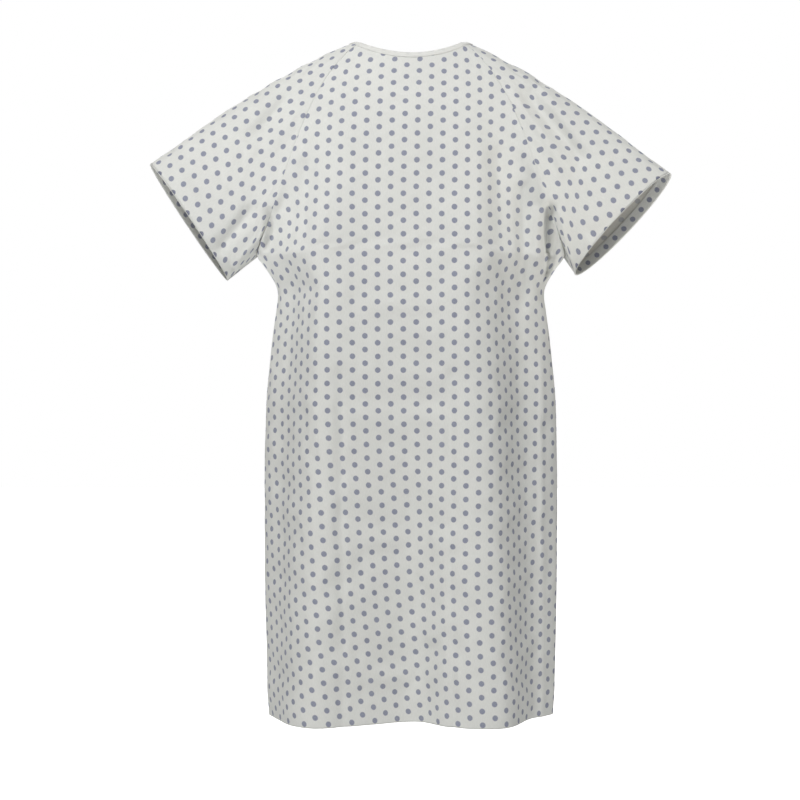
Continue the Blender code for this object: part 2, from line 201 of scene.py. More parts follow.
def along(places, values, place):
    """Reads a smooth curve through values at rising places; values may be points."""
    places = np.asarray(places, float)
    values = np.asarray(values, float)
    k = int(np.clip(np.searchsorted(places, place) - 1, 0, len(places) - 2))
    before, after = max(k - 1, 0), min(k + 2, len(places) - 1)
    gap = places[k + 1] - places[k]
    share = np.clip((place - places[k]) / gap, 0, 1)
    slope1 = (values[k + 1] - values[before]) / (places[k + 1] - places[before]) * gap
    slope2 = (values[after] - values[k]) / (places[after] - places[k]) * gap
    cubic = 2 * (values[k] - values[k + 1]) + slope1 + slope2
    square = 3 * (values[k + 1] - values[k]) - 2 * slope1 - slope2
    return ((cubic * share + square) * share + slope1) * share + values[k]


def spun(points, steps=16):
    """A centripetal Catmull-Rom curve through points; the first and last only give it direction."""
    points = np.asarray(points, float)
    knots = np.concatenate([[0], np.cumsum(np.linalg.norm(np.diff(points, axis=0), axis=1) ** 0.5)])
    out = []
    for k in range(1, len(points) - 2):
        p0, p1, p2, p3 = points[k - 1:k + 3]
        t0, t1, t2, t3 = knots[k - 1:k + 3]
        t = np.linspace(t1, t2, steps, endpoint=False)[:, None]
        a1 = (t1 - t) / (t1 - t0) * p0 + (t - t0) / (t1 - t0) * p1
        a2 = (t2 - t) / (t2 - t1) * p1 + (t - t1) / (t2 - t1) * p2
        a3 = (t3 - t) / (t3 - t2) * p2 + (t - t2) / (t3 - t2) * p3
        b1 = (t2 - t) / (t2 - t0) * a1 + (t - t0) / (t2 - t0) * a2
        b2 = (t3 - t) / (t3 - t1) * a2 + (t - t1) / (t3 - t1) * a3
        out.append((t2 - t) / (t2 - t1) * b1 + (t - t1) / (t2 - t1) * b2)
    out.append(points[-2][None])
    return np.concatenate(out)


def edge_spaced(length, count):
    """Distances along a width of cloth: even in the middle, close together at both sewn edges."""
    near = np.array([0, 0.0012, 0.0025, 0.0045, 0.0075])
    middle = np.linspace(0.012, length - 0.012, count - 2 * len(near))
    return np.concatenate([near, middle, length - near[::-1]])


def resampled(curve, places):
    steps = np.concatenate([[0], np.cumsum(np.linalg.norm(np.diff(curve, axis=0), axis=1))])
    return np.stack([np.interp(places, steps, curve[:, k]) for k in range(3)], axis=1)


def length_of(curve):
    return float(np.linalg.norm(np.diff(curve, axis=0), axis=1).sum())


# ---- the gown's surface -----------------------------------------------------------------------------
def raglan(hand, face, rise):
    """The raglan seam: rise is 0 at the armpit and 1 at the neck; face is -1 in front and 1 behind."""
    down = 1 - rise
    ends = np.array([(NECK_HALF, -0.006), (0.180, -0.078), (0.203, -0.248), (ARMPIT_HALF, -ARMPIT)])
    weights = np.array([rise**3, 3 * rise**2 * down, 3 * rise * down**2, down**3])
    x, z = weights @ ends
    shoulder = 0.110 if face < 0 else 0.102
    depth = shoulder * np.sqrt(max(0.0, 1 - down**4)) - (shoulder - NECK_DEPTH) * rise**2
    return np.array([hand * x, face * depth, z])


def side_width(drop):
    places, widths = zip(*SIDE_LINE)
    return float(along(places, widths, drop))


def level_drop(level):
    return mix(LENGTH, ARMPIT, level)


def row_edge(hand, face, level):
    if level <= 1:
        drop = level_drop(level)
        return np.array([hand * side_width(drop), 0.0, -drop])
    return raglan(hand, face, level - 1)


def row_through(folds, drops, face, level, half):
    """The inner points of a row of body cloth, from its fold lines."""
    rise = max(0.0, level - 1)
    drop = level_drop(level) if level <= 1 else -raglan(1, face, rise)[2]
    dip = (NECK_DIP if face < 0 else BACK_DIP) * rise**2
    points = []
    for line in folds:
        across, depth = along(drops, line, drop)
        points.append((across * half, face * depth, -drop - dip * (1 - across**2)))
    return points


def beyond_side(hand, face, level):
    """A point past a row's sewn edge, which gives the row its direction there."""
    edge = row_edge(hand, face, level)
    away = smooth((level - 1) * 4)
    turn = mix(np.array([hand * -0.012, -face * 0.050, 0.0]), np.array([hand * 0.055, -face * 0.018, -0.020]), away)
    return edge + turn


def front_row(level):
    half = abs(row_edge(1, -1, level)[0])
    inner = row_through(FRONT_FOLDS, DROPS, -1, level, half)
    right, left = row_edge(-1, -1, level), row_edge(1, -1, level)
    return spun([beyond_side(-1, -1, level), right, *inner, left, beyond_side(1, -1, level)])


def back_row(hand, level):
    """From the opening edge to the sewn edge."""
    half = abs(row_edge(1, 1, level)[0])
    inner = row_through(BACK_FOLDS, BACK_DROPS, 1, level, half)
    rise = max(0.0, level - 1)
    drop = -inner[0][2]
    centre = along(BACK_DROPS, BACK_EDGE, min(drop, LENGTH))
    start = (BACK_GAP, float(centre), inner[0][2] - BACK_DIP * rise**2 * 0.05)
    before = (-inner[0][0], inner[0][1], inner[0][2])
    row = np.array([before, start, *inner]) * np.array([hand, 1, 1])
    return spun([*row, row_edge(hand, 1, level), beyond_side(hand, 1, level)])


def neck_side(hand, turn):
    """The side of the neck: turn runs from -1 in front to 1 behind."""
    bow = 1 - turn * turn
    return np.array([hand * (NECK_HALF + NECK_BOW * bow), NECK_DEPTH * turn, -0.006 + 0.006 * bow])


def sleeve_start(hand, ring):
    face = -1 if ring <= 0.5 else 1
    half = min(ring, 1 - ring)
    if half < NECK_SHARE:
        return neck_side(hand, face * half / NECK_SHARE)
    return raglan(hand, face, (0.5 - half) / (0.5 - NECK_SHARE))


def sleeve_frame(hand):
    """Middle of the hem, half its height, the direction across its opening and the grain of the cloth."""
    shape = SLEEVES[hand]
    tip, foot = np.array(shape["tip"]), np.array(shape["foot"])
    reach = (tip - foot) / 2
    outward = np.array([reach[2], 0, -reach[0]]) * hand
    outward /= np.linalg.norm(outward)
    across = outward * sin(shape["turn"]) + np.array([0, cos(shape["turn"]), 0])
    grain = np.cross(reach, across)
    grain *= np.sign(grain[0]) * hand / np.linalg.norm(grain)
    return (tip + foot) / 2, reach, across * shape["open"], grain


def sleeve_end(hand, ring):
    middle, reach, across, _ = sleeve_frame(hand)
    return middle + reach * cos(2 * pi * ring) - across * sin(2 * pi * ring)


def sleeve_grid(hand, rings, reaches):
    """Points of a sleeve by ring and reach: reach is 0 on the raglan seam and 1 at the hem."""
    start = np.array([sleeve_start(hand, ring) for ring in rings])
    end = np.array([sleeve_end(hand, ring) for ring in rings])
    s = np.asarray(reaches)[None, :, None]
    grid = start[:, None] * (1 - s) + end[:, None] * s
    top = np.clip(np.cos(2 * pi * np.asarray(rings)), 0, 1)[:, None] ** 1.5
    arch = TOP_ARCH * 4 * s[..., 0] * (1 - s[..., 0]) * (1.3 - 0.6 * s[..., 0]) * top
    grid[..., 0] += hand * 0.45 * arch
    grid[..., 2] += 0.89 * arch
    return grid


def pushed(grid):
    """Adds the soft folds to the front faces of a grid of points."""
    x, z = grid[..., 0], grid[..., 2]
    move = np.zeros(x.shape)
    for (x1, z1), (x2, z2), width, push in SOFT_FOLDS:
        way = np.array([x2 - x1, z2 - z1])
        reach = way @ way
        share = ((x - x1) * way[0] + (z - z1) * way[1]) / reach
        held = np.clip(share, 0, 1)
        gap = np.hypot(x - x1 - held * way[0], z - z1 - held * way[1])
        move += push * np.exp(-(gap / width) ** 2) * smooth(share * 3 + 0.6) * smooth((1 - share) * 3 + 0.6)
    front = smooth((-grid[..., 1] - 0.005) / 0.03)
    grid[..., 1] -= move * front
    return grid


def reached(lines, normals, profile):
    """Follows lines of points along the cloth and gives the points of a profile on each: pairs of
    distance from the start of the line and offset out of the cloth."""
    distances, offsets = np.array(profile).T
    out, steady = [], []
    for line, normal in zip(lines, normals):
        steps = np.concatenate([[0], np.cumsum(np.linalg.norm(np.diff(line, axis=0), axis=1))])
        points = np.stack([np.interp(distances, steps, line[:, k]) for k in range(3)], axis=1)
        turned = np.stack([np.interp(distances, steps, normal[:, k]) for k in range(3)], axis=1)
        way = (line[2] - line[0]) / max(steps[2], 1e-9)
        out.append(points + way * np.minimum(distances, 0)[:, None] + turned * offsets[:, None])
        steady.append(turned[0])
    return np.array(out), np.array(steady)


def evened(grid, gap, blur=0):
    """Spaces a strip's points evenly along it and softens kinks where it crosses a seam."""
    base = grid.mean(axis=1)
    steps = np.concatenate([[0], np.cumsum(np.linalg.norm(np.diff(base, axis=0), axis=1))])
    places = np.linspace(0, steps[-1], max(3, int(round(steps[-1] / gap)) + 1))
    even = np.stack([[np.interp(places, steps, grid[:, j, k]) for j in range(grid.shape[1])] for k in range(3)])
    even = even.transpose(2, 1, 0)
    for _ in range(blur):
        even[1:-1] = (even[:-2] + 2 * even[1:-1] + even[2:]) / 4
    return even


# ---- meshes ---------------------------------------------------------------------------------------
def normals_of(grid):
    across = np.gradient(grid, axis=0)
    up = np.gradient(grid, axis=1)
    normal = np.cross(across, up)
    return normal / np.maximum(np.linalg.norm(normal, axis=2, keepdims=True), 1e-12)


def outward(grid, inside):
    """Unit normals of a grid, away from a point inside the gown."""
    normal = normals_of(grid)
    facing = ((grid - np.asarray(inside)) * normal).sum()
    return normal if facing > 0 else -normal


def ruffled(grid, normal, cloth, size=0.0011):
    """Small unevenness that pressed cotton keeps, along the cloth's own measures."""
    flat_normal = normal.reshape(-1, 3)
    points = grid.reshape(-1, 3)
    for k, (u, v) in enumerate(cloth.reshape(-1, 2)):
        wave = noise.noise(Vector((u * 9, v * 3.2, 4.1))) + 0.5 * noise.noise(Vector((u * 24, v * 11, 9.7)))
        points[k] += flat_normal[k] * (size * wave)
    return points.reshape(grid.shape)


def cloth_object(name, grid, cloth, inside, slots, thickness=CLOTH, ring=False):
    """A piece of cloth from a grid of points on its outer face. cloth holds each point's place on the
    flat cut piece. slots are the materials of the outer and the inner face."""
    columns, rows = grid.shape[:2]
    normal = outward(grid, inside)
    flip = (np.cross(grid[1, 0] - grid[0, 0], grid[0, 1] - grid[0, 0]) @ normal[0, 0]) < 0
    index = np.arange(columns * rows).reshape(columns, rows)
    a, b, c, d = index[:-1, :-1], index[1:, :-1], index[1:, 1:], index[:-1, 1:]
    faces = np.stack([a, b, c, d], axis=-1).reshape(-1, 4)
    if flip:
        faces = faces[:, ::-1]
    mesh = bpy.data.meshes.new(name)
    mesh.from_pydata(grid.reshape(-1, 3).tolist(), [], faces.tolist())
    layer = mesh.uv_layers.new(name="cloth")
    flat = cloth.reshape(-1, 2)
    layer.data.foreach_set("uv", flat[faces.reshape(-1)].astype(np.float32).reshape(-1))
    if ring:
        weld = bmesh.new()
        weld.from_mesh(mesh)
        bmesh.ops.remove_doubles(weld, verts=weld.verts, dist=1e-6)
        weld.to_mesh(mesh)
        weld.free()
    mesh.shade_smooth()
    piece = bpy.data.objects.new(name, mesh)
    bpy.context.scene.collection.objects.link(piece)
    for slot in slots:
        mesh.materials.append(slot)
    shell = piece.modifiers.new("thickness", "SOLIDIFY")
    shell.thickness = thickness
    shell.offset = -1
    shell.material_offset = len(slots) - 1
    shell.material_offset_rim = 0
    return piece


def strip(name, grid, slot, thickness=TRIM):
    """A narrow piece of cloth from the points of its middle; rows run along it."""
    along_it = np.concatenate([[0], np.cumsum(np.linalg.norm(np.diff(grid[:, 0], axis=0), axis=1))])
    across = np.concatenate([[0], np.cumsum(np.linalg.norm(np.diff(grid, axis=1), axis=2).mean(axis=0))])
    flat = np.stack(np.broadcast_arrays(across[None, :] + DOT_COLUMNS / 2, along_it[:, None]), axis=2)
    piece = cloth_object(name, grid, flat, (0, 0, -0.5), (slot,), thickness)
    piece.modifiers["thickness"].offset = 0
    return piece, (float(across[-1]), float(along_it[-1]))


def stitches(name, points, normals, gap=0.0030, length=0.0021, width=0.00042):
    """A row of thread stitches on the cloth."""
    steps = np.concatenate([[0], np.cumsum(np.linalg.norm(np.diff(points, axis=0), axis=1))])
    count = max(2, int(steps[-1] / gap))
    places = (np.arange(count) + 0.5) * steps[-1] / count
    middle = np.stack([np.interp(places, steps, points[:, k]) for k in range(3)], axis=1)
    up = np.stack([np.interp(places, steps, normals[:, k]) for k in range(3)], axis=1)
    up /= np.linalg.norm(up, axis=1, keepdims=True)
    way = np.gradient(middle, axis=0)
    way /= np.linalg.norm(way, axis=1, keepdims=True)
    side = np.cross(way, up)
    corners = [way * length / 2 - up * width * 0.6, up * width * 0.55, side * width / 2 + up * width * 0.1,
               -side * width / 2 + up * width * 0.1, -way * length / 2 - up * width * 0.6, -up * width]
    verts = np.stack([middle + c for c in corners], axis=1).reshape(-1, 3)
    base = np.arange(count)[:, None, None] * 6
    shape = np.array([(0, 1, 2), (0, 3, 1), (4, 2, 1), (4, 1, 3), (0, 2, 5), (0, 5, 3), (4, 5, 2), (4, 3, 5)])
    mesh = bpy.data.meshes.new(name)
    mesh.from_pydata(verts.tolist(), [], (base + shape).reshape(-1, 3).tolist())
    mesh.shade_smooth()
    mesh.materials.append(THREAD)
    piece = bpy.data.objects.new(name, mesh)
    bpy.context.scene.collection.objects.link(piece)
    return piece


def sewn_line(name, grid, normal, distance):
    """A row of stitches on the cloth, at a distance from the start of its lines."""
    line, up = reached(grid, normal, [(distance, 0.0)])
    return stitches(name, line[:, 0], up)


def rolled(grid, normal, distance):
    """Turns the sewn edges of a grid in. distance is each point's way to the nearest seam."""
    turn = SEAM_ROLL * np.exp(-(distance / SEAM_REACH) ** 2)
    return grid - normal * turn[..., None]


# ---- materials --------------------------------------------------------------------------------------
def link(tree, a, b):
    tree.links.new(a, b)


def math_node(tree, operation, *inputs):
    node = tree.nodes.new("ShaderNodeMath")
    node.operation = operation
    for socket, value in zip(node.inputs, inputs):
        if isinstance(value, (int, float)):
            socket.default_value = value
        else:
            link(tree, value, socket)
    return node.outputs[0]


def dot_distance(tree, u, v, shift_u, shift_v):
    """Distance to the nearest dot of one of the two square stands of dots that make the stagger."""
    du = math_node(tree, "PINGPONG", math_node(tree, "ADD", u, shift_u), DOT_COLUMNS)
    dv = math_node(tree, "PINGPONG", math_node(tree, "ADD", v, shift_v), DOT_ROWS / 2)
    square = math_node(tree, "ADD", math_node(tree, "MULTIPLY", du, du), math_node(tree, "MULTIPLY", dv, dv))
    return math_node(tree, "SQRT", square)


def noise_node(tree, vector, scale, detail=3.0):
    node = tree.nodes.new("ShaderNodeTexNoise")
    node.inputs["Scale"].default_value = scale
    node.inputs["Detail"].default_value = detail
    link(tree, vector, node.inputs["Vector"])
    return node.outputs["Fac"]


def range_node(tree, value, low, high, to_low, to_high):
    node = tree.nodes.new("ShaderNodeMapRange")
    node.interpolation_type = "SMOOTHSTEP"
    for socket, number in zip(node.inputs[1:5], (low, high, to_low, to_high)):
        socket.default_value = number
    link(tree, value, node.inputs[0])
    return node.outputs[0]


def colour_mix(tree, share, a, b):
    node = tree.nodes.new("ShaderNodeMix")
    node.data_type = "RGBA"
    for socket, value in ((node.inputs["Factor"], share), (node.inputs["A"], a), (node.inputs["B"], b)):
        if isinstance(value, tuple):
            socket.default_value = (*value, 1)
        elif isinstance(value, (int, float)):
            socket.default_value = value
        else:
            link(tree, value, socket)
    return node.outputs["Result"]


def weave_height(tree, u, v, pitch):
    """Plain weave: threads over and under each other, pitch apart."""
    turns = 2 * pi / pitch
    warp = math_node(tree, "SINE", math_node(tree, "MULTIPLY", u, turns))
    weft = math_node(tree, "SINE", math_node(tree, "MULTIPLY", v, turns))
    return math_node(tree, "MULTIPLY", warp, weft)


def cloth_material(name, colour, shade, dots=0.0, roughness=0.88, sheen=0.12):
    """Woven cotton. dots is how strongly the print shows, shade the colour that slubs and wear bring."""
    material = bpy.data.materials.new(name)
    material.use_nodes = True
    tree = material.node_tree
    shader = tree.nodes["Principled BSDF"]
    shader.inputs["Roughness"].default_value = roughness
    shader.inputs["Sheen Weight"].default_value = sheen
    shader.inputs["Sheen Roughness"].default_value = 0.5
    shader.inputs["Specular IOR Level"].default_value = 0.25
    place = tree.nodes.new("ShaderNodeUVMap")
    place.uv_map = "cloth"
    split = tree.nodes.new("ShaderNodeSeparateXYZ")
    link(tree, place.outputs["UV"], split.inputs[0])
    u, v = split.outputs["X"], split.outputs["Y"]
    stretch = tree.nodes.new("ShaderNodeMapping")
    stretch.inputs["Scale"].default_value = (1.0, 0.22, 1.0)
    link(tree, place.outputs["UV"], stretch.inputs["Vector"])
    slubs = noise_node(tree, stretch.outputs["Vector"], 700.0)
    clouds = noise_node(tree, place.outputs["UV"], 9.0)
    tone = range_node(tree, math_node(tree, "ADD", math_node(tree, "MULTIPLY", slubs, 0.6),
                                      math_node(tree, "MULTIPLY", clouds, 0.4)), 0.35, 0.70, 0.0, 1.0)
    base = colour_mix(tree, tone, shade, colour)
    if dots:
        grain = math_node(tree, "SUBTRACT", noise_node(tree, place.outputs["UV"], 900.0), 0.5)
        ragged = math_node(tree, "MULTIPLY", grain, 0.0016)
        first = dot_distance(tree, u, v, 0.0, 0.0)
        second = dot_distance(tree, u, v, DOT_COLUMNS, DOT_ROWS / 2)
        nearest = math_node(tree, "ADD", math_node(tree, "MINIMUM", first, second), ragged)
        inked = range_node(tree, nearest, DOT_RADIUS - 0.0007, DOT_RADIUS + 0.0007, 1.0, 0.0)
        worn = range_node(tree, noise_node(tree, place.outputs["UV"], 1500.0), 0.30, 0.62, 0.62, 1.0)
        share = math_node(tree, "MULTIPLY", math_node(tree, "MULTIPLY", inked, worn), dots)
        doubled = range_node(tree, math_node(tree, "ABSOLUTE", v), 0.004, 0.009, 0.75, 0.0)
        base = colour_mix(tree, share, base, colour_mix(tree, doubled, DOT_COLOUR, HEM_DOT))
    link(tree, base, shader.inputs["Base Color"])
    bump = tree.nodes.new("ShaderNodeBump")
    bump.inputs["Strength"].default_value = 0.35
    bump.inputs["Distance"].default_value = 0.00025
    weave = math_node(tree, "MULTIPLY", weave_height(tree, u, v, THREAD_PITCH), 0.5)
    height = math_node(tree, "ADD", weave, slubs)
    link(tree, height, bump.inputs["Height"])
    link(tree, bump.outputs["Normal"], shader.inputs["Normal"])
    return material


def plain_material(name, colour, roughness=0.9):
    material = bpy.data.materials.new(name)
    material.use_nodes = True
    tree = material.node_tree
    shader = tree.nodes["Principled BSDF"]
    shader.inputs["Roughness"].default_value = roughness
    place = tree.nodes.new("ShaderNodeTexCoord")
    grain = noise_node(tree, place.outputs["Object"], 900.0)
    darker = tuple(c * 0.9 for c in colour)
    link(tree, colour_mix(tree, grain, darker, colour), shader.inputs["Base Color"])
    return material


COTTON = cloth_material("printed_cotton_outside", (0.785, 0.79, 0.755), (0.735, 0.74, 0.705), dots=0.92)
# inner face: the print shows fainter, as on the reverse of printed cotton, and its warmer tint is painted light
# that stands in for light shining through the thin cloth
INSIDE_PAINTED_GLOW = cloth_material("printed_cotton_inside_painted_glow", (0.80, 0.785, 0.73), (0.74, 0.725, 0.67), dots=0.50)
BIAS = cloth_material("bias_binding", (0.80, 0.80, 0.77), (0.74, 0.74, 0.70), dots=0.10)
TAPE = cloth_material("tie_tape", (0.82, 0.82, 0.79), (0.74, 0.74, 0.71))
THREAD = plain_material("white_thread", (0.86, 0.86, 0.84), 0.6)


# ---- body panels ------------------------------------------------------------------------------------
def body_levels():
    """Levels of the rows of a panel: 0 at the hem, 1 at the armpit and 2 at the neck, closer at both ends."""
    fine = np.array([0, 0.002, 0.005, 0.010, 0.018])
    return np.concatenate([fine, np.linspace(0.03, 1.97, BODY_ROWS - 2 * len(fine)), 2 - fine[::-1]])


def row_lengths(row):
    """Distance along a row of the front's cloth, from one of the printed columns."""
    steps = np.concatenate([[0], np.cumsum(np.linalg.norm(np.diff(row, axis=0), axis=1))])
    order = np.argsort(row[:, 0])
    drops, leans = zip(*LEAN)
    lean = np.interp(-row[:, 2].mean(), drops, leans)
    return steps - np.interp(COLUMN_START + lean, row[order, 0], steps[order])


def cloth_height(grid):
    """Height of each point up the cloth from the hem, the same for a whole row."""
    middle = grid[grid.shape[0] * 3 // 8:grid.shape[0] * 5 // 8]
    steps = np.linalg.norm(np.diff(middle[..., 1:], axis=1), axis=2).mean(axis=0)
    height = np.concatenate([[0], np.cumsum(steps)])
    return height[None, :] + (grid[..., 2] - middle[..., 2].mean(axis=0)) + ROW_START


def seam_distance(grid):
    """Each point's distance to the sewn edges at the first and last column."""
    steps = np.linalg.norm(np.diff(grid, axis=0), axis=2)
    from_first = np.concatenate([np.zeros((1, grid.shape[1])), np.cumsum(steps, axis=0)])
    return from_first, from_first[-1] - from_first


def front_panel():
    rows, flats = [], []
    for level in body_levels():
        curve = front_row(level)
        row = resampled(curve, edge_spaced(length_of(curve), FRONT_COLUMNS))
        rows.append(row)
        flats.append(row_lengths(row))
    grid = np.stack(rows, axis=1)
    flat = np.stack([np.stack(flats, axis=1), cloth_height(grid)], axis=2)
    grid = settled(pushed(grid))
    normal = outward(grid, BODY_MIDDLE)
    grid = ruffled(grid, normal, flat)
    grid = rolled(grid, normal, np.minimum(*seam_distance(grid)))
    return cloth_object("front_panel_cloth", grid, flat, BODY_MIDDLE, (COTTON, INSIDE_PAINTED_GLOW)), grid


def back_panel(hand, name):
    rows, flats = [], []
    for level in body_levels():
        curve = back_row(hand, level)
        row = resampled(curve, edge_spaced(length_of(curve), BACK_COLUMNS))
        rows.append(row)
        flats.append(np.concatenate([[0], np.cumsum(np.linalg.norm(np.diff(row, axis=0), axis=1))]))
    grid = np.stack(rows, axis=1)
    flat = np.stack([np.stack(flats, axis=1), cloth_height(grid)], axis=2)
    grid = settled(grid)
    normal = outward(grid, BODY_MIDDLE)
    grid = ruffled(grid, normal, flat + hand)
    grid = rolled(grid, normal, seam_distance(grid)[1])
    return cloth_object(name + "_back_panel", grid, flat, BODY_MIDDLE, (COTTON, INSIDE_PAINTED_GLOW)), grid


def laid_flat(grid, hand, top):
    """Each point's place on the flat sleeve: across the grain from the sleeve's top, and up from the hem."""
    middle, reach, _, grain = sleeve_frame(hand)
    down = -reach / np.linalg.norm(reach)
    steps = np.diff(grid, axis=0)
    steps = steps - (steps @ grain)[..., None] * grain
    around = np.concatenate([np.zeros((1, grid.shape[1])), np.cumsum(np.linalg.norm(steps, axis=2), axis=0)])
    drift = (grid[top] - grid[top, -1]) @ down
    return np.stack([around[top] - around + drift, (middle - grid) @ grain], axis=2)


def settled(grid, hold=0.35, grow=0.010, frames=20, every=3):
    """Lets a piece of cloth settle under its own weight, with a little more cloth than the shape needs, so
    that it buckles softly. Its edges stay where they are and the rest is held loosely. The cloth that
    settles has every third point, and the fine grid follows it."""
    columns = np.unique(np.append(np.arange(0, grid.shape[0], every), grid.shape[0] - 1))
    rows = np.unique(np.append(np.arange(0, grid.shape[1], every), grid.shape[1] - 1))
    coarse = grid[np.ix_(columns, rows)]
    index = np.arange(coarse.shape[0] * coarse.shape[1]).reshape(coarse.shape[:2])
    faces = np.stack([index[:-1, :-1], index[1:, :-1], index[1:, 1:], index[:-1, 1:]], axis=-1).reshape(-1, 4)
    mesh = bpy.data.meshes.new("settling")
    mesh.from_pydata(coarse.reshape(-1, 3).tolist(), [], faces.tolist())
    piece = bpy.data.objects.new("settling", mesh)
    scene = bpy.context.scene
    scene.collection.objects.link(piece)
    edge = np.ones(index.shape, bool)
    edge[2:-2, 2:-2] = False
    group = piece.vertex_groups.new(name="held")
    group.add(index[edge].tolist(), 1.0, "REPLACE")
    group.add(index[~edge].tolist(), hold, "REPLACE")
    cloth = piece.modifiers.new("settle", "CLOTH")
    made = cloth.settings
    made.quality = 5
    made.mass = 0.05
    made.tension_stiffness = 18
    made.compression_stiffness = 12
    made.shear_stiffness = 6
    made.bending_stiffness = 0.08
    made.air_damping = 2
    made.vertex_group_mass = "held"
    made.pin_stiffness = 0.6
    made.shrink_min = -grow
    cloth.collision_settings.use_collision = False
    cloth.point_cache.frame_start = 1
    cloth.point_cache.frame_end = frames
    for frame_number in range(1, frames + 1):
        scene.frame_set(frame_number)
    shown = piece.evaluated_get(bpy.context.evaluated_depsgraph_get())
    points = np.empty(len(mesh.vertices) * 3, np.float32)
    shown.data.vertices.foreach_get("co", points)
    shift = points.reshape(coarse.shape).astype(float) - coarse
    scene.frame_set(1)
    bpy.data.objects.remove(piece)
    bpy.data.meshes.remove(mesh)
    spread = [np.array([np.interp(np.arange(n), places, one) for one in np.eye(len(places))]).T
              for n, places in ((grid.shape[0], columns), (grid.shape[1], rows))]
    shift = np.einsum("ac,crk,br->abk", spread[0], shift, spread[1])
    for _ in range(2):
        shift[1:-1] = (shift[:-2] + 2 * shift[1:-1] + shift[2:]) / 4
        shift[:, 1:-1] = (shift[:, :-2] + 2 * shift[:, 1:-1] + shift[:, 2:]) / 4
    print("settled by up to", round(float(np.linalg.norm(shift, axis=2).max()) * 1000, 1), "mm")
    return grid + shift


def sleeve(hand, name):
    rings = np.concatenate([np.linspace(0.5, NECK_SHARE, RAGLAN_RINGS),
                            np.linspace(NECK_SHARE, -NECK_SHARE, NECK_RINGS)[1:-1],
                            np.linspace(-NECK_SHARE, -0.5, RAGLAN_RINGS)]) % 1.0
    rings[0], rings[-1] = 0.5, 0.5000001      # both ends meet in the underarm seam
    reaches = np.concatenate([[0, 0.008, 0.018, 0.035, 0.06], np.linspace(0.09, 0.95, 62), [0.975, 0.99, 1.0]])
    grid = pushed(sleeve_grid(hand, rings, reaches))
    flat = laid_flat(grid, hand, len(rings) // 2)
    grid = settled(grid)
    inside = np.multiply(SLEEVE_MIDDLE, (hand, 1, 1))
    normal = outward(grid, inside)
    grid = ruffled(grid, normal, flat + 2 * hand)
    away = np.linalg.norm(grid - grid[:, :1], axis=2)
    away = np.where((np.minimum(rings, 1 - rings) < NECK_SHARE)[:, None], 1.0, away)
    grid = rolled(grid, normal, away)
    piece = cloth_object(name + "_sleeve_cloth", grid, flat, inside, (COTTON, INSIDE_PAINTED_GLOW), ring=True)
    return piece, grid, outward(grid, inside)


# ---- trims --------------------------------------------------------------------------------------------
# profiles across a folded edge as (distance in from the edge, offset out of the cloth)
HEM_TURN = [(-0.0002, 0.0001), (-0.0008, -0.0003), (-0.0007, -0.0009), (0.0010, -0.0012), (0.006, -0.0013)]
BINDING_WRAP = [(BINDING, 0.0002), (BINDING - 0.0005, 0.0007), (BINDING / 2, 0.0009), (0.0004, 0.0007),
                (-0.0008, 0.0002), (-0.0009, -0.0006), (-0.0002, -0.0012), (0.002, -0.0014),
                (BINDING - 0.0005, -0.0013)]
ALLOWANCE = [(0.0095, -0.0012), (0.0035, -0.0012), (0.0012, -0.0016), (0.0035, -0.0021), (0.0095, -0.0020)]


def turned_hem(width):
    return HEM_TURN + [(d, -0.0013) for d in np.linspace(0.010, width, 5)]


def on_cloth(grid, normal, x, z):
    """Point and normal of the back's cloth at x across and z up."""
    near = np.abs(grid[:40, :, 0])
    found = []
    for values in (grid[:40, :, 2], grid[:40, :, 1], normal[:40, :, 0], normal[:40, :, 1], normal[:40, :, 2]):
        found.append(np.array([np.interp(abs(x), near[:, j], values[:, j]) for j in range(grid.shape[1])]))
    read = [float(np.interp(z, found[0], values)) for values in found[1:]]
    return np.array([x, read[0], z]), np.array(read[1:])


def hanging_tie(name, hand, place, sewn, back_grid, back_normal):
    """A tape hanging against the cloth and swaying a little. It swings at place, and the length sewn lies
    flat above that, under a patch."""
    across, top = place
    rows = []
    for step in np.concatenate([np.linspace(0, 0.06, 17)[:-1], np.linspace(0.06, 1, 55)]):
        sway = 0.0022 * sin(step * 5.2 + across * 90) * step
        turn = radians(18) * sin(step * 4.4 + across * 60) * step
        z = top + sewn - (TIE_LENGTH + sewn) * step
        foot, up = on_cloth(back_grid, back_normal, hand * across, z)
        off = 0.0013 if not sewn else 0.0004 + 0.0009 * smooth((top - z) / 0.004)
        middle = foot + up * (off + 0.0030 * step) + np.array([hand * sway, 0, 0])
        side = np.array([hand * cos(turn), abs(sin(turn)), 0]) * TIE_WIDTH / 2
        lift = up * 0.0006
        rows.append([middle - side, middle - side * 0.6 + lift, middle + lift,
                     middle + side * 0.6 + lift, middle + side])
    return strip(name, np.array(rows), TAPE, TAPE_CLOTH)


